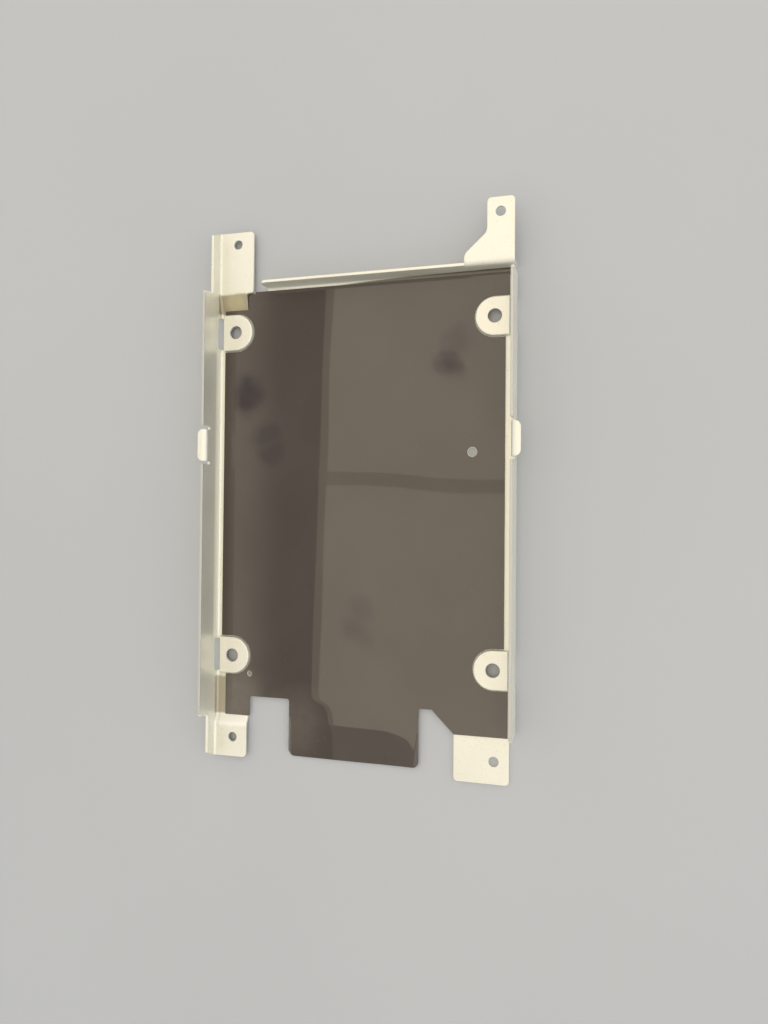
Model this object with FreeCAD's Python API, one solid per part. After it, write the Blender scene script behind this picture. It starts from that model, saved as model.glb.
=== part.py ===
import FreeCAD, Part
import os
from math import atan2, sqrt, tan

Vector = FreeCAD.Vector

# Sizes are in millimetres. X runs across the caddy, and Y along it, away from the open connector end.
# The origin lies on the underside of the floor, below the centre of the four drive screws.

# The drive that the caddy holds
drive_width = 69.85
drive_length = 100.2
screw_spacing_x = 61.72
screw_spacing_y = 76.6
screws_from_connector = 14.0
drive_screw = 3.0
screw_clearance = 0.1
side_clearance = 0.2
end_clearance = 0.6

# Sheet, its bends and the corners of its blank
sheet = 0.6
bend_inside = 0.6
blank_corner = 0.9

# Side walls and end wall
wall_height = 8.8
wall_corner = 1.4
wall_start_setback = 0.5
wall_stop_setback = 0.9
end_wall_height = 5.2
end_wall_gap = 12.6
corner_relief = 0.3

# Open edge of the floor, with a slanted shoulder down to the flat ear
floor_setback = 4.7
shoulder_depth = 4.4

# Raised screw pads, each with a slot between its straight side and the wall
pad_radius = 4.2
pad_rise = 1.0
pad_flank = 0.2
pad_flat = 3.15
pad_edge = 0.3
slot_length = 7.4
slot_height = 2.2
slot_corner = 0.7

# Tabs folded out of the side walls
tab_centre = 11.0
tab_length = 7.4
tab_reach = 1.5
tab_height = 7.6
tab_corner = 1.3
tab_relief = 0.8

# Two ears on the left wall, each raised by a ramp and stiffened by an upright lip
ear_screw_hole = 2.2
ear_rise = 0.9
far_ear_width = 9.25
near_ear_width = 8.7
ear_hole_inset = 5.2
lip_height = 4.9
lip_corner = 0.5
lip_lean = 1.3
far_ear_reach = 14.3
far_ear_hole_reach = 11.4
far_ramp_setback = 4.0
far_ramp_length = 3.6
far_neck_width = 7.6
neck_slit = 0.6
near_ear_reach = 9.75
near_ear_hole_reach = 5.2
near_ramp_reach = 0.5
near_ramp_length = 1.5

# Flat ear at the right of the open end, level with the floor
flat_ear_width = 12.05
flat_ear_inset = 0.8
flat_ear_reach = 10.6
flat_ear_hole_inset = 3.3
flat_ear_hole_reach = 5.75

# Raised ear at the right of the end wall, folded outwards at its top
raised_ear_base = 10.8
raised_ear_width = 5.85
raised_ear_inset = 0.25
raised_ear_reach = 14.7
raised_ear_shoulder = 1.8
raised_ear_taper = 4.5
raised_ear_sweep = 2.2
raised_ear_hole_inset = 3.0
raised_ear_hole_reach = 11.6

# Insulating film, with a free tongue past the open edge of the floor
film_thickness = 0.25
film_overhang = 0.5
film_notch_overhang = 0.2
film_pad_clearance = 0.15
film_left_gap = 1.2
film_right_gap = 2.0
film_corner_gap = 1.1
film_leg_gap = 2.35
film_end_gap = 0.05
film_neck_gap = 0.3
film_ramp_gap = 0.05
tongue_centre = -1.05
tongue_width = 30.8
tongue_reach = 8.65
tongue_corner = 1.3
tongue_root = 0.5

# Two holes through floor and film that set the film's place
large_locator = (26.0, 8.9)
large_locator_diameter = 2.0
small_locator_diameter = 1.2
small_locator_web = 0.73
film_hole_margin = 0.1

# Places that follow from the sizes
wall_inner = drive_width / 2 + side_clearance
wall_outer = wall_inner + sheet
bend_outside = bend_inside + sheet
bend_line = wall_inner - bend_inside
screw_x = screw_spacing_x / 2
screw_y = screw_spacing_y / 2
connector_end = -screw_y - screws_from_connector
closed_end = connector_end + drive_length
end_wall_inner = closed_end + end_clearance
end_wall_outer = end_wall_inner + sheet
end_bend_line = end_wall_inner - bend_inside
end_wall_left = end_wall_gap - wall_outer
wall_start = connector_end + wall_start_setback
wall_stop = closed_end - wall_stop_setback
floor_edge = connector_end + floor_setback
far_ear_inner = far_ear_width - wall_outer
near_ear_inner = near_ear_width - wall_outer
near_ramp_foot = connector_end - near_ramp_reach
near_ear_end = connector_end - near_ear_reach
far_ramp_foot = closed_end - far_ramp_setback
far_ramp_head = far_ramp_foot + far_ramp_length
neck_slit_end = far_ramp_foot - neck_slit
far_ear_end = closed_end + far_ear_reach
far_neck_inner = far_neck_width - wall_outer
flat_ear_right = wall_inner - flat_ear_inset
flat_ear_left = flat_ear_right - flat_ear_width
flat_ear_end = connector_end - flat_ear_reach
raised_ear_right = wall_outer - raised_ear_inset
raised_ear_left = raised_ear_right - raised_ear_base
raised_ear_end = closed_end + raised_ear_reach
pad_top = sheet + pad_rise
pad_foot = pad_radius + pad_flank
through = 2 * wall_height

# Two points closer than this are the same point
same_place = 1e-4


def rounded_wire(corners, place):
    """Closed wire through corners (u, v, radius), each rounded by an arc of its radius."""
    points = [Vector(u, v, 0) for u, v, radius in corners]
    stops = []
    for index, (u, v, radius) in enumerate(corners):
        corner = points[index]
        back = (points[index - 1] - corner).normalize()
        ahead = (points[(index + 1) % len(points)] - corner).normalize()
        if radius == 0:
            stops.append([corner])
            continue
        half_angle = back.getAngle(ahead) / 2
        middle = (back + ahead).normalize()
        run = radius / tan(half_angle)
        to_centre = sqrt(run ** 2 + radius ** 2)
        arc_middle = corner + middle * (to_centre - radius)
        stops.append([corner + back * run, arc_middle, corner + ahead * run])
    edges = []
    for index, stop in enumerate(stops):
        following = stops[(index + 1) % len(stops)]
        if len(stop) == 3:
            edges.append(Part.Arc(*[place(p.x, p.y) for p in stop]).toShape())
        if stop[-1].distanceToPoint(following[0]) > same_place:
            start, end = stop[-1], following[0]
            edges.append(Part.makeLine(place(start.x, start.y), place(end.x, end.y)))
    return Part.Wire(edges)


def plan_prism(corners, z0, z1):
    wire = rounded_wire(corners, lambda x, y: Vector(x, y, z0))
    return Part.Face(wire).extrude(Vector(0, 0, z1 - z0))


def side_prism(corners, x0, x1):
    wire = rounded_wire(corners, lambda y, z: Vector(x0, y, z))
    return Part.Face(wire).extrude(Vector(x1 - x0, 0, 0))


def cross_prism(corners, y0, y1):
    wire = rounded_wire(corners, lambda x, z: Vector(x, y0, z))
    return Part.Face(wire).extrude(Vector(0, y1 - y0, 0))


def hole(x, y, diameter, z0, z1):
    return Part.makeCylinder(diameter / 2, z1 - z0, Vector(x, y, z0))


def mirrored(shape):
    """The same shape on the other side of the caddy."""
    return shape.mirror(Vector(0, 0, 0), Vector(1, 0, 0))


def folded_sheet(path):
    """Outline of a sheet folded along the path of one face, with its thickness on the path's left."""
    points = [Vector(u, v, 0) for u, v in path]
    lefts = []
    for start, end in zip(points, points[1:]):
        along = (end - start).normalize()
        lefts.append(Vector(-along.y, along.x, 0))
    near, far = [], []
    for index, point in enumerate(points):
        before = lefts[max(index - 1, 0)]
        after = lefts[min(index, len(lefts) - 1)]
        offset = (before + after) * (sheet / (1 + before.dot(after)))
        turn = before.cross(after).z
        near_radius, far_radius = 0, 0
        if turn > 0:
            near_radius, far_radius = bend_outside, bend_inside
        if turn < 0:
            near_radius, far_radius = bend_inside, bend_outside
        near.append((point.x, point.y, near_radius))
        far.append((point.x + offset.x, point.y + offset.y, far_radius))
    return near + far[::-1]


def floor_plate():
    """Flat floor with the flat ear, its shoulder, and the root of the near left ear."""
    corners = [
        (-bend_line, near_ramp_foot, 0),
        (near_ear_inner, near_ramp_foot, 0),
        (near_ear_inner, floor_edge, blank_corner),
        (flat_ear_left - shoulder_depth, floor_edge, blank_corner),
        (flat_ear_left, floor_edge - shoulder_depth, blank_corner),
        (flat_ear_left, flat_ear_end, blank_corner),
        (flat_ear_right, flat_ear_end, blank_corner),
        (flat_ear_right, wall_start, 0),
        (bend_line, wall_start, 0),
        (bend_line, wall_stop, 0),
        (bend_line - corner_relief, wall_stop, 0),
        (bend_line - corner_relief, end_bend_line, 0),
        (far_neck_inner + neck_slit, end_bend_line, 0),
        (far_neck_inner + neck_slit, neck_slit_end, 0),
        (far_neck_inner, neck_slit_end, 0),
        (far_neck_inner, far_ramp_foot, 0),
        (-bend_line, far_ramp_foot, 0),
    ]
    return plan_prism(corners, 0, sheet)


def right_wall():
    path = [(bend_line - bend_inside, 0), (wall_outer, 0), (wall_outer, wall_height)]
    elevation = [
        (wall_start, 0, 0),
        (wall_stop, 0, 0),
        (wall_stop, wall_height, wall_corner),
        (wall_start, wall_height, wall_corner),
    ]
    wall = cross_prism(folded_sheet(path), wall_start, wall_stop)
    return wall.common(side_prism(elevation, 0, wall_outer))


def left_rail():
    """Left wall with both left ears: an angle section that steps up a ramp at each end."""
    path = [
        (near_ear_end, ear_rise),
        (near_ramp_foot - near_ramp_length, ear_rise),
        (near_ramp_foot, 0),
        (far_ramp_foot, 0),
        (far_ramp_head, ear_rise),
        (far_ear_end, ear_rise),
    ]
    strip = folded_sheet(path)
    underside = strip[:len(path)]
    wall = underside + [(far_ear_end, wall_height, 0), (near_ear_end, wall_height, 0)]
    rail = side_prism(strip, -wall_outer, far_ear_inner)
    rail = rail.fuse(side_prism(wall, -wall_outer, -wall_inner)).removeSplitter()
    rail = rail.makeFillet(bend_inside, rail_edges(rail, -wall_inner))
    rail = rail.makeFillet(bend_outside, rail_edges(rail, -wall_outer))
    rail = rail.common(side_prism(rail_elevation(), -wall_outer, far_ear_inner))
    return rail.common(plan_prism(rail_plan(), 0, wall_height))


def rail_edges(rail, x):
    """The edges along the foot of the left wall, on its inner or outer face."""
    highest = ear_rise + sheet
    found = []
    for edge in rail.Edges:
        box = edge.BoundBox
        on_face = abs(box.XMin - x) < same_place and abs(box.XMax - x) < same_place
        if on_face and box.ZMax < highest + same_place:
            found.append(edge)
    return found


def rail_elevation():
    """Left wall seen from the side: low lips along the ears, full height between them."""
    return [
        (near_ear_end, 0, 0),
        (far_ear_end, 0, 0),
        (far_ear_end, ear_rise + bend_outside, 0),
        (far_ear_end - lip_lean, lip_height, lip_corner),
        (wall_stop, lip_height, bend_inside),
        (wall_stop, wall_height, wall_corner),
        (wall_start, wall_height, wall_corner),
        (wall_start, lip_height, bend_inside),
        (near_ear_end + lip_lean, lip_height, lip_corner),
        (near_ear_end, ear_rise + bend_outside, 0),
    ]


def rail_plan():
    """Left wall and ears seen from above, with the narrow neck of the far ear."""
    return [
        (-wall_outer, near_ear_end, 0),
        (near_ear_inner, near_ear_end, blank_corner),
        (near_ear_inner, neck_slit_end, 0),
        (far_neck_inner, neck_slit_end, 0),
        (far_neck_inner, far_ramp_head, bend_inside),
        (far_ear_inner, far_ramp_head, bend_inside),
        (far_ear_inner, far_ear_end, blank_corner),
        (-wall_outer, far_ear_end, 0),
    ]


def end_wall():
    foot = (end_bend_line - bend_inside, 0)
    corner = (end_wall_outer, 0)
    plain = folded_sheet([foot, corner, (end_wall_outer, end_wall_height)])
    below_ear = folded_sheet([foot, corner, (end_wall_outer, end_wall_height - bend_outside)])
    right = bend_line - corner_relief
    elevation = [
        (end_wall_left, 0, 0),
        (right, 0, 0),
        (right, end_wall_height, 0),
        (end_wall_left, end_wall_height, wall_corner),
    ]
    wall = side_prism(plain, end_wall_left, raised_ear_left)
    wall = wall.fuse(side_prism(below_ear, raised_ear_left, right))
    return wall.common(cross_prism(elevation, end_bend_line - bend_inside, end_wall_outer))


def raised_ear():
    """Ear folded outwards at the top of the end wall, tapering to its screw hole."""
    underside = end_wall_height - sheet
    path = [(end_wall_outer, bend_outside), (end_wall_outer, underside), (raised_ear_end, underside)]
    narrow_left = raised_ear_right - raised_ear_width
    taper_foot = end_wall_outer + raised_ear_shoulder
    taper_head = taper_foot + raised_ear_taper
    plan = [
        (raised_ear_left, end_bend_line, 0),
        (raised_ear_right, end_bend_line, 0),
        (raised_ear_right, raised_ear_end, blank_corner),
        (narrow_left, raised_ear_end, blank_corner),
        (narrow_left, taper_head, raised_ear_sweep),
        (raised_ear_left, taper_foot, raised_ear_sweep),
    ]
    ear = side_prism(folded_sheet(path), raised_ear_left, raised_ear_right)
    return ear.common(plan_prism(plan, 0, end_wall_height))


def d_wire(x, y, radius, flat, z):
    """Half round on the inner side of a screw, and straight sides out to a flat edge by the wall."""
    top = Vector(x, y + radius, z)
    bottom = Vector(x, y - radius, z)
    outer_top = Vector(x + flat, y + radius, z)
    outer_bottom = Vector(x + flat, y - radius, z)
    return Part.Wire([
        Part.Arc(top, Vector(x - radius, y, z), bottom).toShape(),
        Part.makeLine(bottom, outer_bottom),
        Part.makeLine(outer_bottom, outer_top),
        Part.makeLine(outer_top, top),
    ])


def pad_boss(x, y):
    """The raised side of a screw pad, with its sloping flank and rounded rim."""
    foot = d_wire(x, y, pad_foot, pad_flat + pad_flank, sheet)
    head = d_wire(x, y, pad_radius, pad_flat, pad_top)
    boss = Part.makeLoft([foot, head], True, True)
    return boss.makeFillet(pad_edge, pad_rim(boss, x))


def pad_rim(boss, x):
    """The edges round the top of a screw pad, without the straight one by the wall."""
    found = []
    for edge in boss.Edges:
        box = edge.BoundBox
        if box.ZMin > pad_top - same_place and box.XMin < x + same_place:
            found.append(edge)
    return found


def pad_recess(x, y):
    """The hollow side of a screw pad, one sheet thickness below the raised side."""
    inset = sheet * tan(atan2(pad_rise, pad_flank) / 2)
    mouth = d_wire(x, y, pad_foot - inset, pad_flat + pad_flank - inset, 0)
    roof = d_wire(x, y, pad_radius - inset, pad_flat - inset, pad_rise)
    return Part.makeLoft([mouth, roof], True, True)


def wall_slot(x, y):
    """Slot at the foot of the wall, from the flat edge of a pad out through the wall."""
    half = slot_length / 2
    corners = [
        (y - half, -sheet, 0),
        (y + half, -sheet, 0),
        (y + half, slot_height, slot_corner),
        (y - half, slot_height, slot_corner),
    ]
    return side_prism(corners, x + pad_flat, wall_outer + sheet)


def both_sides(make):
    """Four copies of a right-hand feature, one at each drive screw."""
    right = [make(screw_x, y) for y in (-screw_y, screw_y)]
    return right + [mirrored(shape) for shape in right]


def tab_opening():
    """Cut in the right wall for a tab and the relief at each end of it."""
    half = tab_length / 2 + tab_relief
    foot = tab_height - bend_outside - tab_relief
    corners = [
        (tab_centre - half, foot, tab_relief / 2),
        (tab_centre + half, foot, tab_relief / 2),
        (tab_centre + half, through, 0),
        (tab_centre - half, through, 0),
    ]
    return side_prism(corners, wall_inner - sheet, wall_outer + sheet)


def tab():
    """Tab folded outwards from the right wall."""
    underside = tab_height - sheet
    foot = tab_height - bend_outside - 2 * tab_relief
    start = tab_centre - tab_length / 2
    stop = tab_centre + tab_length / 2
    reach = wall_outer + tab_reach
    path = [(wall_outer, foot), (wall_outer, underside), (reach, underside)]
    plan = [
        (wall_inner, start, 0),
        (reach, start, tab_corner),
        (reach, stop, tab_corner),
        (wall_inner, stop, 0),
    ]
    strip = cross_prism(folded_sheet(path), start, stop)
    return strip.common(plan_prism(plan, 0, wall_height))


def ear_holes():
    top = wall_height
    left = ear_hole_inset - wall_outer
    return [
        hole(left, connector_end - near_ear_hole_reach, ear_screw_hole, 0, top),
        hole(left, closed_end + far_ear_hole_reach, ear_screw_hole, 0, top),
        hole(flat_ear_right - flat_ear_hole_inset, connector_end - flat_ear_hole_reach,
             ear_screw_hole, -sheet, top),
        hole(raised_ear_right - raised_ear_hole_inset, closed_end + raised_ear_hole_reach,
             ear_screw_hole, 0, top),
    ]


def drive_screw_hole(x, y):
    return hole(x, y, drive_screw + screw_clearance, -sheet, pad_top + sheet)


def small_locator():
    """Place of the small locating hole, on a diagonal from a screw pad, past a web of film."""
    radius = small_locator_diameter / 2 + film_hole_margin
    diagonal = (pad_foot + film_pad_clearance + small_locator_web + radius) / sqrt(2)
    return diagonal - screw_x, -diagonal - screw_y


def locating_holes(margin):
    """Tools for the two locating holes, wider than the floor's holes by the margin all round."""
    return [
        hole(*large_locator, large_locator_diameter + 2 * margin, -sheet, pad_top),
        hole(*small_locator(), small_locator_diameter + 2 * margin, -sheet, pad_top),
    ]


def caddy_frame():
    frame = floor_plate().fuse([left_rail(), right_wall(), end_wall(), raised_ear()])
    frame = frame.cut([tab_opening(), mirrored(tab_opening())])
    frame = frame.fuse([tab(), mirrored(tab())] + both_sides(pad_boss))
    cuts = both_sides(pad_recess) + both_sides(wall_slot) + both_sides(drive_screw_hole)
    cuts += ear_holes() + locating_holes(0)
    return frame.cut(cuts).removeSplitter()


def ramp_bend(length):
    """How far the bend at the foot of a ramp reaches over the floor."""
    return bend_outside * tan(atan2(ear_rise, length) / 2)


def film_outline():
    left = film_left_gap - wall_inner
    leg_left = film_leg_gap - wall_inner
    right = wall_inner - film_right_gap
    corner_right = wall_inner - film_corner_gap
    leg_right = near_ear_inner + film_overhang
    notch = floor_edge - film_notch_overhang
    ear_line = connector_end - film_overhang
    leg_end = near_ramp_foot + ramp_bend(near_ramp_length) + film_ramp_gap
    far_end = end_bend_line - film_end_gap
    neck = far_neck_inner + film_neck_gap
    ramp = far_ramp_foot - ramp_bend(far_ramp_length) - film_ramp_gap
    ear_side = far_ear_inner + film_neck_gap
    ear_front = far_ramp_head - film_end_gap
    slant = flat_ear_left - shoulder_depth + floor_edge - film_overhang * sqrt(2)
    tongue_left = tongue_centre - tongue_width / 2
    tongue_right = tongue_centre + tongue_width / 2
    tongue_end = connector_end - tongue_reach
    return [
        (leg_left, leg_end, 0),
        (leg_right, leg_end, 0),
        (leg_right, notch, tongue_root),
        (tongue_left, notch, tongue_root),
        (tongue_left, tongue_end, tongue_corner),
        (tongue_right, tongue_end, tongue_corner),
        (tongue_right, notch, tongue_root),
        (slant - notch, notch, 0),
        (slant - ear_line, ear_line, 0),
        (corner_right, ear_line, 0),
        (corner_right, -screw_y, 0),
        (right, -screw_y, 0),
        (right, screw_y, 0),
        (corner_right, screw_y, 0),
        (corner_right, far_end, 0),
        (ear_side, far_end, 0),
        (ear_side, ear_front, 0),
        (neck, ear_front, bend_inside),
        (neck, ramp, 0),
        (left, ramp, 0),
        (left, -screw_y, 0),
        (leg_left, -screw_y, 0),
    ]


def film_pad_opening(x, y):
    radius = pad_foot + film_pad_clearance
    wire = d_wire(x, y, radius, wall_outer - x, 0)
    return Part.Face(wire).extrude(Vector(0, 0, through))


def insulating_film():
    film = plan_prism(film_outline(), sheet, sheet + film_thickness)
    return film.cut(both_sides(film_pad_opening) + locating_holes(film_hole_margin))


os.makedirs("parts", exist_ok=True)
caddy_frame().exportStep("parts/caddy_frame.step")
insulating_film().exportStep("parts/insulating_film.step")
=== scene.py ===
"""Looks of a laptop drive caddy: plated sheet steel and a glossy insulating film, on a pale floor."""
import bmesh
import bpy
from math import exp, pi, sin
from mathutils import Matrix, Vector


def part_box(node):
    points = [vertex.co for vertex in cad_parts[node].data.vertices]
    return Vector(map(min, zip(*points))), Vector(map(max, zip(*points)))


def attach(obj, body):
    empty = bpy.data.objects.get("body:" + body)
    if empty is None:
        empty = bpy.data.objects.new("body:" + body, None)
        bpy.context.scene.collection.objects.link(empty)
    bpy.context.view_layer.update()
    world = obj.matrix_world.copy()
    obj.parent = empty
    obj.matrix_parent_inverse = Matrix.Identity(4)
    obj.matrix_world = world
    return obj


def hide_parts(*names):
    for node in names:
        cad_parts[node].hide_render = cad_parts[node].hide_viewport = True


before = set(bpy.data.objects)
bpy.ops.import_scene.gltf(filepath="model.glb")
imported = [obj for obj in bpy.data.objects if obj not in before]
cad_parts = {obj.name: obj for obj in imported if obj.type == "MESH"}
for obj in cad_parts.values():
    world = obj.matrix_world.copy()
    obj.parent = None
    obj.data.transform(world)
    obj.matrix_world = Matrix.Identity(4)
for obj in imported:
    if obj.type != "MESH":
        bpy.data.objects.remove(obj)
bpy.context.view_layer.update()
mm = 0.001

# Camera, solved from the four screw pads in the photograph
camera_place = Vector((54.86, -7.37, 169.44)) * mm
camera_turn = Vector((0.018589, 0.281593, 0.006360))
camera_lens = 27.42
camera_sensor = 36.0
camera_clip = 10 * mm

# Overhead light: a wide panel with a dimmer border along its left edge and a dimmer band across it,
# and shaded panels to its left, lighter away from it, and on its near side
panel_height = 600 * mm
panel_turn = -0.028
ceiling_left = -240 * mm
ceiling_right = 520 * mm
ceiling_near = -268 * mm
ceiling_far = 560 * mm
border_width = 8.5 * mm
band_middle = 28 * mm
band_width = 14 * mm
band_slant = -0.0355
ceiling_radiance = (1.64, 1.46, 1.23)
border_share = 0.55
band_share = 0.68
shade_left = -460 * mm
shade_light_end = -345 * mm
shade_dark_end = -275 * mm
shade_light = (1.25, 1.10, 0.95)
shade_dark = (0.22, 0.22, 0.24)
near_shade_end = -430 * mm
near_shade_radiance = (0.55, 0.53, 0.50)

# Upright light panels that face the object, and the even light from all round
window_centre = Vector((-330, 760, 430)) * mm
window_size = 560 * mm
window_radiance = (1.55, 1.40, 1.20)
side_centre = Vector((680, -160, 170)) * mm
side_size = 480 * mm
side_radiance = (2.0, 2.05, 2.2)
front_centre = Vector((60, -720, 300)) * mm
front_size = 480 * mm
front_radiance = (0.95, 0.86, 0.78)
world_colour = (1.12, 1.13, 1.08)

# Pale floor, just below the object
floor_colour = (0.42, 0.44, 0.47)
floor_dark_share = 0.97
floor_scale = 8
floor_roughness = 0.6
floor_reach = 3.0
floor_gap = 0.05 * mm

# Parts of a noise's range, from and to: the plain one, and narrower ones for single patterns
noise_range = (0.3, 0.7)
blotch_range = (0.35, 0.65)
dull_blotch_range = (0.4, 0.7)
speck_range = (0.66, 0.74)
fleck_range = (0.25, 0.6)
dust_range = (0.74, 0.82)

# Plated steel: colours, gloss, rolling grain, blotches, specks and worn edges
steel_warm = (0.75, 0.743, 0.655, 1)
steel_pale = (0.78, 0.777, 0.695, 1)
speck_colour = (0.42, 0.38, 0.30, 1)
worn_and_highlight_colour = (0.90, 0.89, 0.85, 1)
steel_metallic = 0.6
steel_smooth = 0.40
steel_rough = 0.48
blotch_roughness = 0.06
grain_stretch = (7000, 260, 7000)
grain_bump = 0.06
grain_depth = 0.05 * mm
blotch_scale = 60
speck_scale = 2600
speck_strength = 0.35
edge_radius = 0.2 * mm
edge_samples = 6
worn_strength = 0.35
worn_agreement = (0.82, 0.97)

# Raw cut edges along the tops of the side walls
raw_edge_colour = (0.50, 0.50, 0.47, 1)
raw_edge_low = 8.5 * mm
raw_edge_high = 8.7 * mm

# Painted highlight on the ramp of the near left ear: X from and to, Y from and to, top in millimetres, and
# strength
painted_highlight_ramp = (-34.4, -26.4, -55.3, -51.9, 3.0, 0.85)

# Painted highlight along the foot of the left wall's inner face, in the same order
wall_foot_highlight = (-36.2, -34.7, -42.5, 42.5, 3.3, 1.0)
wall_foot_highlight_colour = (0.96, 0.965, 0.85, 1)

# Darker tan patches beside the film's left corners, in the same order: the near one is painted shade beside
# the left wall, and the far one is a darker tan on the far ramp, with a paler spot in it
tan_and_shade_patches = [
    (-35.7, -25.9, 42.6, 47.9, 2.4, 1.0),
    (-35.7, -32.0, -52.6, -43.2, 2.0, 0.85),
]
tan_patch_dark = (0.36, 0.32, 0.23, 1)
tan_patch_pale = (0.435, 0.40, 0.265, 1)
tan_patch_pale_spot = (-31.6, 46.2, 3.6, 1.0)

# Darker band at the foot of the end wall, which climbs to the right
dark_band_left = -8.0 * mm
dark_band_right = 34.6 * mm
dark_band_climb = 0.028
dark_band_near = 46.8 * mm
dark_band_low = 0.35 * mm
dark_band_fade = 0.25 * mm
dark_band_colour = (0.185, 0.163, 0.130, 1)

# Soft and ragged sides of the patches
patch_fade = 0.7 * mm
facing_fade = 0.3
ragged_scale = 900
ragged_reach = 0.12 * mm

# Insulating film: colours, gloss, clouds, dust, and painted shade along its left edge, by a duller gloss
film_dark = (0.060, 0.050, 0.041, 1)
film_pale = (0.070, 0.059, 0.049, 1)
marked_colour = (0.057, 0.050, 0.052, 1)
dust_and_reflection_colour = (0.18, 0.16, 0.14, 1)
film_index = 1.6
film_gloss = 0.5
film_smooth = 0.018
film_rough = 0.03
marked_roughness = 0.05
dust_roughness = 0.3
dust_strength = 0.35
cloud_scale = 45
dust_scale = 2300
film_shade_left = -33.5 * mm
film_shade_right = -30.0 * mm
film_shade_strength = 0.6

# Dull finger marks, and painted pale reflections on the film: X, Y and radius in millimetres, and strength
finger_marks = [
    (-27.7, 23.3, 7.0, 0.95),
    (-22.4, 13.8, 5.6, 0.70),
    (-21.6, 9.9, 5.4, 0.70),
    (21.0, 28.6, 5.2, 0.66),
    (22.4, 33.0, 6.4, 0.32),
    (-1.5, -30.4, 4.6, 0.36),
    (0.5, -26.2, 5.4, 0.26),
    (1.7, -32.8, 4.2, 0.24),
]
painted_reflection_marks = [
    (-30.0, -48.0, 9.6, 0.43),
    (-15.5, -53.2, 11.0, 0.30),
]
fleck_scale = 420
fleck_low = 0.75
spot_core = 0.2
spot_scale = 190
spot_uneven = 0.8 * mm

# Film waves: long ripples where it lies on the floor, and an arch and a droop along its free tongue
tongue_root = -46.6 * mm
tongue_left = -16.45 * mm
tongue_right = 14.35 * mm
ripple_height = 0.007 * mm
ripple_length = 31 * mm
ripple_shift = 0.4
ripple_share = 0.8
arch_height = 0.155 * mm
arch_run = 3 * mm
droop_start = -51.0 * mm
droop_slope = 0.065
droop_bend = 4 * mm
droop_edge = 4 * mm
droop_width = 9 * mm

# Cells of the film's mesh
film_cell = 1.5 * mm
merge_reach = 0.001 * mm
sliver_reach = 0.002 * mm
slope_step = 0.05 * mm
broad_upright = 0.7


def add(tree, kind, inputs=(), **settings):
    """New node of a kind; each input is a value, or a socket to link from."""
    node = tree.nodes.new(kind)
    for name, value in settings.items():
        setattr(node, name, value)
    for name, value in dict(inputs).items():
        if isinstance(value, bpy.types.NodeSocket):
            tree.links.new(value, node.inputs[name])
        else:
            node.inputs[name].default_value = value
    return node


def noise(tree, place, scale, detail=3.0):
    """Cloudy pattern of values from about 0 to 1."""
    return add(tree, "ShaderNodeTexNoise", {"Vector": place, "Scale": scale, "Detail": detail}).outputs[0]


def stretched(tree, place, scale):
    return add(tree, "ShaderNodeMapping", {"Vector": place, "Scale": scale}).outputs["Vector"]


def separated(tree, vector):
    """X, Y and Z of a vector."""
    return add(tree, "ShaderNodeSeparateXYZ", {0: vector}).outputs


def span(tree, value, low, high, out_low, out_high):
    """Carries low..high of a value over to out_low..out_high, with soft ends."""
    made = add(tree, "ShaderNodeMapRange", {
        "Value": value, "From Min": low, "From Max": high, "To Min": out_low, "To Max": out_high,
    }, interpolation_type="SMOOTHSTEP")
    return made.outputs["Result"]


def maths(tree, operation, first, second):
    return add(tree, "ShaderNodeMath", {0: first, 1: second}, operation=operation).outputs[0]


def vector_maths(tree, operation, first, second):
    return add(tree, "ShaderNodeVectorMath", {0: first, 1: second}, operation=operation).outputs


def joined(tree, operation, masks):
    """One mask from several, taken together by an operation."""
    found = masks[0]
    for mask in masks[1:]:
        found = maths(tree, operation, found, mask)
    return found


def strongest(tree, masks):
    """The greatest of several masks."""
    return joined(tree, "MAXIMUM", masks)


def overlap(tree, masks):
    """Where all of several masks hold."""
    return joined(tree, "MULTIPLY", masks)


def mixed(tree, factor, first, second):
    """Colour between two others."""
    made = add(tree, "ShaderNodeMix", {0: factor, 6: first, 7: second}, data_type="RGBA")
    return made.outputs[2]


def new_material(name):
    """Material with its node tree, its shader and the coordinates of the object."""
    material = bpy.data.materials.new(name)
    material.use_nodes = True
    tree = material.node_tree
    tree.nodes.clear()
    shader = add(tree, "ShaderNodeBsdfPrincipled")
    add(tree, "ShaderNodeOutputMaterial", {"Surface": shader.outputs[0]})
    place = add(tree, "ShaderNodeTexCoord").outputs["Object"]
    return material, tree, shader, place


def feed(tree, shader, **sockets):
    """Links sockets to the shader's inputs of the same names."""
    for name, socket in sockets.items():
        tree.links.new(socket, shader.inputs[name.replace("_", " ")])


def plated_steel():
    """Satin plated sheet with a fine rolling grain, faint blotches, the marks of use, and painted
    highlights and shade.
    """
    material, tree, shader, place = new_material("plated_steel")
    grain = noise(tree, stretched(tree, place, grain_stretch), 1.0)
    blotch = noise(tree, place, blotch_scale)
    soft = add(tree, "ShaderNodeBevel", {"Radius": edge_radius}, samples=edge_samples).outputs["Normal"]
    colour = wear_and_painted_light_colour(tree, place, soft, plating_colour(tree, place, blotch))
    rough = span(tree, grain, *noise_range, steel_smooth, steel_rough)
    rough = maths(tree, "ADD", rough, span(tree, blotch, *dull_blotch_range, 0, blotch_roughness))
    bump = add(tree, "ShaderNodeBump", {
        "Height": grain, "Strength": grain_bump, "Distance": grain_depth, "Normal": soft,
    })
    feed(tree, shader, Base_Color=colour, Roughness=rough, Normal=bump.outputs["Normal"])
    shader.inputs["Metallic"].default_value = steel_metallic
    return material


def plating_colour(tree, place, blotch):
    """Colour of the clean plating, with its blotches and specks."""
    speck = noise(tree, place, speck_scale, detail=1.0)
    colour = mixed(tree, span(tree, blotch, *blotch_range, 0, 1), steel_warm, steel_pale)
    return mixed(tree, span(tree, speck, *speck_range, 0, speck_strength), colour, speck_colour)


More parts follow.
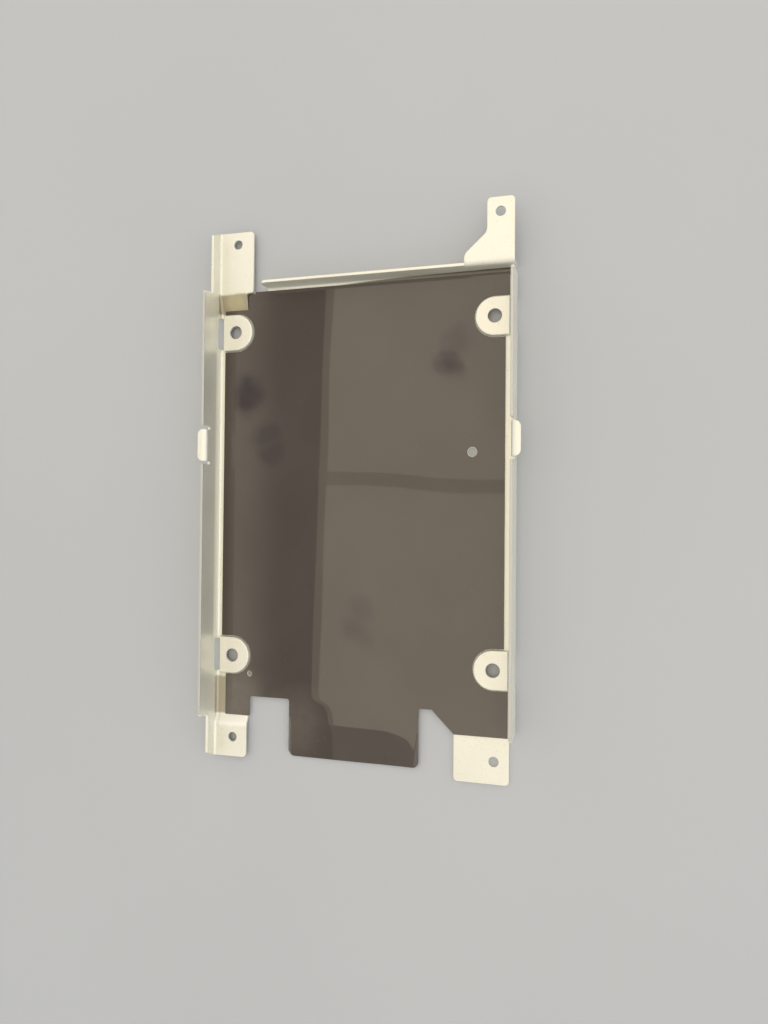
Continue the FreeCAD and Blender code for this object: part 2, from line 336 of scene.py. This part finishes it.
def wear_and_painted_light_colour(tree, place, soft, colour):
    """A colour with worn and raw edges, painted highlights on the near ramp and along the wall foot, darker
    tan patches (the near one painted shade) and a darker band at the end wall's foot over it.
    """
    plain = separated(tree, place)
    ragged = separated(tree, ragged_place(tree, place))
    normal = add(tree, "ShaderNodeNewGeometry").outputs["Normal"]
    facing = separated(tree, normal)
    upward = span(tree, facing["Z"], -facing_fade, 0.0, 0.0, 1.0)
    inward = span(tree, facing["X"], 0.0, facing_fade, 0.0, 1.0)
    # Paler worn edges, and a painted highlight on the ramp of the near left ear
    worn_and_highlight = strongest(tree, [worn_edge(tree, normal, soft), patch(tree, ragged, *painted_highlight_ramp)])
    colour = mixed(tree, worn_and_highlight, colour, worn_and_highlight_colour)
    # Painted highlight along the foot of the left wall's inner face
    foot_highlight = overlap(tree, [patch(tree, plain, *wall_foot_highlight), inward])
    colour = mixed(tree, foot_highlight, colour, wall_foot_highlight_colour)
    raw_edge = span(tree, plain["Z"], raw_edge_low, raw_edge_high, 0.0, 1.0)
    colour = mixed(tree, raw_edge, colour, raw_edge_colour)
    # Darker tan patches: the near one is painted shade beside the left wall
    tan_and_shade = strongest(tree, [patch(tree, ragged, *limits) for limits in tan_and_shade_patches])
    tan_patch_colour = mixed(tree, spot(tree, place, *tan_patch_pale_spot), tan_patch_dark, tan_patch_pale)
    colour = mixed(tree, overlap(tree, [tan_and_shade, upward]), colour, tan_patch_colour)
    # Darker band along the foot of the end wall
    return mixed(tree, overlap(tree, [dark_foot_band(tree, plain, facing), upward]), colour, dark_band_colour)


def ragged_place(tree, place):
    """Coordinates shifted a little, so that the sides of patches are ragged."""
    shift = span(tree, noise(tree, place, ragged_scale), *noise_range, -ragged_reach, ragged_reach)
    return vector_maths(tree, "ADD", place, shift)["Vector"]


def worn_edge(tree, normal, soft):
    """Mask of the sharp edges, where the softened normal leaves the plain one."""
    agreement = vector_maths(tree, "DOT_PRODUCT", normal, soft)["Value"]
    return span(tree, agreement, *worn_agreement, worn_strength, 0.0)


def between(tree, value, low, high):
    """Mask of the values between two limits in millimetres, with soft ends."""
    rising = span(tree, value, low * mm, low * mm + patch_fade, 0.0, 1.0)
    falling = span(tree, value, high * mm - patch_fade, high * mm, 1.0, 0.0)
    return overlap(tree, [rising, falling])


def patch(tree, parts, left, right, near, far, top, strength):
    """Mask of a patch low on the sheet, with soft sides; its limits are in millimetres."""
    across = between(tree, parts["X"], left, right)
    along = between(tree, parts["Y"], near, far)
    low = span(tree, parts["Z"], top * mm - patch_fade, top * mm, strength, 0.0)
    return overlap(tree, [across, along, low])


def dark_foot_band(tree, parts, facing):
    """Mask of the darker band, whose upper edge climbs along X, on faces that don't look outwards along Y.
    """
    climb = maths(tree, "MULTIPLY", maths(tree, "SUBTRACT", parts["X"], dark_band_left), dark_band_climb)
    above = maths(tree, "SUBTRACT", parts["Z"], climb)
    return overlap(tree, [
        span(tree, above, dark_band_low, dark_band_low + dark_band_fade, 1.0, 0.0),
        span(tree, parts["X"], dark_band_right - patch_fade, dark_band_right, 1.0, 0.0),
        span(tree, parts["Y"], dark_band_near, dark_band_near + patch_fade, 0.0, 1.0),
        span(tree, facing["Y"], 0.0, facing_fade, 1.0, 0.0),
    ])


def spot(tree, place, x, y, radius, strength):
    """Soft, uneven round mask about a point seen from above; its sizes are in millimetres."""
    flat = vector_maths(tree, "MULTIPLY", place, (1, 1, 0))["Vector"]
    distance = vector_maths(tree, "DISTANCE", flat, Vector((x, y, 0)) * mm)["Value"]
    shift = span(tree, noise(tree, place, spot_scale), *noise_range, -spot_uneven, spot_uneven)
    uneven = maths(tree, "ADD", distance, shift)
    return span(tree, uneven, spot_core * radius * mm, radius * mm, strength, 0.0)


def spots(tree, place, marks):
    return strongest(tree, [spot(tree, place, *mark) for mark in marks])


def insulating_film():
    """Dark glossy plastic with dull finger marks, painted pale reflections, painted shade along its left
    edge and a little dust.
    """
    material, tree, shader, place = new_material("insulating_film")
    cloud = noise(tree, place, cloud_scale)
    fleck = span(tree, noise(tree, place, fleck_scale), *fleck_range, fleck_low, 1.0)
    marks = overlap(tree, [spots(tree, place, finger_marks), fleck])
    # Painted pale reflections on the film
    painted_reflection = overlap(tree, [spots(tree, place, painted_reflection_marks), fleck])
    dust = span(tree, noise(tree, place, dust_scale, detail=1.0), *dust_range, 0.0, 1.0)
    # Painted shade along the film's left edge, by lowering its gloss
    shaded_edge = span(tree, separated(tree, place)["X"], film_shade_left, film_shade_right, film_shade_strength, 0.0)
    colour = mixed(tree, span(tree, cloud, *noise_range, 0, 1), film_dark, film_pale)
    # Dust, and the painted pale reflections, in one paler colour
    dust_and_reflection = strongest(tree, [painted_reflection, maths(tree, "MULTIPLY", dust, dust_strength)])
    colour = mixed(tree, dust_and_reflection, colour, dust_and_reflection_colour)
    colour = mixed(tree, marks, colour, marked_colour)
    rough = span(tree, cloud, *noise_range, film_smooth, film_rough)
    rough = maths(tree, "ADD", rough, maths(tree, "MULTIPLY", marks, marked_roughness))
    rough = maths(tree, "ADD", rough, maths(tree, "MULTIPLY", dust, dust_roughness))
    gloss = span(tree, strongest(tree, [marks, shaded_edge]), 0.0, 1.0, film_gloss, 0.0)
    feed(tree, shader, Base_Color=colour, Roughness=rough, Specular_IOR_Level=gloss)
    shader.inputs["IOR"].default_value = film_index
    return material


def pale_floor():
    material, tree, shader, place = new_material("pale_floor")
    mottle = span(tree, noise(tree, place, floor_scale), *noise_range, 0, 1)
    darker = tuple(floor_dark_share * value for value in floor_colour) + (1,)
    feed(tree, shader, Base_Color=mixed(tree, mottle, darker, floor_colour + (1,)))
    shader.inputs["Roughness"].default_value = floor_roughness
    return material


def glow(name, radiance):
    """Even light of a panel."""
    material = bpy.data.materials.new(name)
    material.use_nodes = True
    tree = material.node_tree
    tree.nodes.clear()
    light = add(tree, "ShaderNodeEmission", {"Color": tuple(radiance) + (1,), "Strength": 1.0})
    add(tree, "ShaderNodeOutputMaterial", {"Surface": light.outputs[0]})
    return material


def shade_glow():
    """Light that fades across the shaded panel, towards the bright one."""
    material = glow("ceiling_shade", shade_dark)
    tree = material.node_tree
    place = add(tree, "ShaderNodeTexCoord").outputs["Object"]
    fade = span(tree, separated(tree, place)["X"], shade_light_end, shade_dark_end, 0.0, 1.0)
    colour = mixed(tree, fade, shade_light + (1,), shade_dark + (1,))
    tree.links.new(colour, tree.nodes["Emission"].inputs["Color"])
    return material


def rectangle(name, corners, material):
    """Flat piece of the stage around the object."""
    mesh = bpy.data.meshes.new(name)
    mesh.from_pydata([tuple(corner) for corner in corners], [], [range(len(corners))])
    mesh.materials.append(material)
    made = bpy.data.objects.new(name, mesh)
    bpy.context.scene.collection.objects.link(made)
    return made


def strip(name, left, right, near, far, material):
    """One piece of the overhead light, with the Y of its near and far edge at its left and right side."""
    turn = Matrix.Rotation(panel_turn, 4, "Z")
    corners = [(left, near[0]), (right, near[1]), (right, far[1]), (left, far[0])]
    places = [turn @ Vector((x, y, panel_height)) for x, y in corners]
    rectangle(name, places, material).visible_camera = False


def dimmed(share):
    return tuple(share * value for value in ceiling_radiance)


def ceiling():
    """The bright panel with its band and border, and the shaded panels to its left and on its near side."""
    inner = ceiling_left + border_width
    near = (ceiling_near, ceiling_near)
    far = (ceiling_far, ceiling_far)
    shade_near = (near_shade_end, near_shade_end)
    middles = [band_middle + band_slant * x for x in (inner, ceiling_right)]
    band_near = [middle - band_width / 2 for middle in middles]
    band_far = [middle + band_width / 2 for middle in middles]
    bright = glow("ceiling", ceiling_radiance)
    band = glow("ceiling_band", dimmed(band_share))
    border = glow("ceiling_border", dimmed(border_share))
    near_shade = glow("near_shade", near_shade_radiance)
    strip("ceiling_near", inner, ceiling_right, near, band_near, bright)
    strip("ceiling_band", inner, ceiling_right, band_near, band_far, band)
    strip("ceiling_far", inner, ceiling_right, band_far, far, bright)
    strip("ceiling_border", ceiling_left, inner, near, far, border)
    strip("ceiling_shade", shade_left, ceiling_left, shade_near, far, shade_glow())
    strip("near_shade", ceiling_left, ceiling_right, shade_near, near, near_shade)


def upright_panel(name, centre, size, radiance):
    """Square light that faces the object."""
    turn = (-centre).to_track_quat("Z", "Y").to_matrix()
    half = size / 2
    corners = [(-half, -half), (half, -half), (half, half), (-half, half)]
    places = [centre + turn @ Vector((x, y, 0)) for x, y in corners]
    rectangle(name, places, glow(name, radiance)).visible_camera = False


def studio():
    """Floor, light panels and the even light."""
    corners = [(-1, -1), (1, -1), (1, 1), (-1, 1)]
    rectangle("floor", [(x * floor_reach, y * floor_reach, -floor_gap) for x, y in corners], pale_floor())
    ceiling()
    upright_panel("window", window_centre, window_size, window_radiance)
    upright_panel("side", side_centre, side_size, side_radiance)
    upright_panel("front", front_centre, front_size, front_radiance)
    world = bpy.data.worlds.new("studio")
    world.use_nodes = True
    world.node_tree.nodes["Background"].inputs["Color"].default_value = world_colour + (1,)
    bpy.context.scene.world = world
    bpy.context.scene.view_settings.view_transform = "Standard"


def camera():
    """Camera at the photograph's place and angle."""
    data = bpy.data.cameras.new("camera")
    data.lens = camera_lens
    data.sensor_width = camera_sensor
    data.clip_start = camera_clip
    made = bpy.data.objects.new("camera", data)
    turn = Matrix.Rotation(camera_turn.length, 4, camera_turn)
    made.matrix_world = Matrix.Translation(camera_place) @ turn
    bpy.context.scene.collection.objects.link(made)
    bpy.context.scene.camera = made


def smooth(value):
    """Eases from 0 to 1."""
    value = max(0.0, min(1.0, value))
    return value * value * (3 - 2 * value)


def droop(run):
    """Fall of the tongue along its run, whose slope eases from nothing to the full one."""
    part = max(0.0, min(1.0, run / droop_bend))
    eased = droop_bend * (part ** 3 - part ** 4 / 2)
    return droop_slope * (eased + max(0.0, run - droop_bend))


def film_rise(x, y):
    """How far the film stands above a flat one."""
    phase = 2 * pi / ripple_length
    wave = sin(phase * x + ripple_shift) * sin(phase * y * ripple_share)
    rise = ripple_height * (wave + 1)
    if tongue_left < x < tongue_right:
        across = (x - tongue_left) / (tongue_right - tongue_left)
        rise += smooth((tongue_root - y) / arch_run) * arch_height * sin(pi * across) ** 2
        rise -= droop(droop_start - y) * exp(-(max(0.0, x - droop_edge) / droop_width) ** 2)
    return rise


def film_normal(x, y):
    """Upward normal of the waved film."""
    slope_x = (film_rise(x + slope_step, y) - film_rise(x - slope_step, y)) / (2 * slope_step)
    slope_y = (film_rise(x, y + slope_step) - film_rise(x, y - slope_step)) / (2 * slope_step)
    return Vector((-slope_x, -slope_y, 1)).normalized()


def shade_film(mesh):
    """Gives the film's broad faces the waves' own normals, and leaves its cut edges flat."""
    normals = []
    for face in mesh.polygons:
        upright = face.normal.z
        for corner in face.loop_indices:
            place = mesh.vertices[mesh.loops[corner].vertex_index].co
            if abs(upright) < broad_upright:
                normals.append(face.normal)
            elif upright < 0:
                normals.append(-film_normal(place.x, place.y))
            else:
                normals.append(film_normal(place.x, place.y))
    mesh.normals_split_custom_set(normals)


def cut_into_cells(shape):
    """Cuts the film's solid along a grid of upright planes."""
    low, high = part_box("insulating_film")
    for axis in (0, 1):
        normal = Vector((0, 0, 0))
        normal[axis] = 1
        length = high[axis] - low[axis]
        count = int(length / film_cell)
        for index in range(1, count):
            point = low.copy()
            point[axis] += length * index / count
            parts = shape.verts[:] + shape.edges[:] + shape.faces[:]
            bmesh.ops.bisect_plane(shape, geom=parts, plane_co=point, plane_no=normal)


def film_mesh():
    """The film's mesh, cut from its plain solid into small cells and then waved."""
    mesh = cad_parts["insulating_film"].data.copy()
    shape = bmesh.new()
    shape.from_mesh(mesh)
    bmesh.ops.remove_doubles(shape, verts=shape.verts, dist=merge_reach)
    cut_into_cells(shape)
    bmesh.ops.triangulate(shape, faces=shape.faces)
    bmesh.ops.dissolve_degenerate(shape, dist=sliver_reach, edges=shape.edges)
    for vertex in shape.verts:
        vertex.co.z += film_rise(vertex.co.x, vertex.co.y)
    for face in shape.faces:
        face.smooth = True
    shape.to_mesh(mesh)
    shape.free()
    shade_film(mesh)
    return mesh


def film_piece():
    """The waved film, in place of its CAD node."""
    mesh = film_mesh()
    mesh.materials.clear()
    mesh.materials.append(insulating_film())
    film = bpy.data.objects.new("film", mesh)
    bpy.context.scene.collection.objects.link(film)
    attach(film, "root")
    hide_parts("insulating_film")


def metal():
    """The frame's own CAD mesh in plated steel."""
    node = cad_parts["caddy_frame"]
    node.data.materials.clear()
    node.data.materials.append(plated_steel())


studio()
camera()
metal()
film_piece()
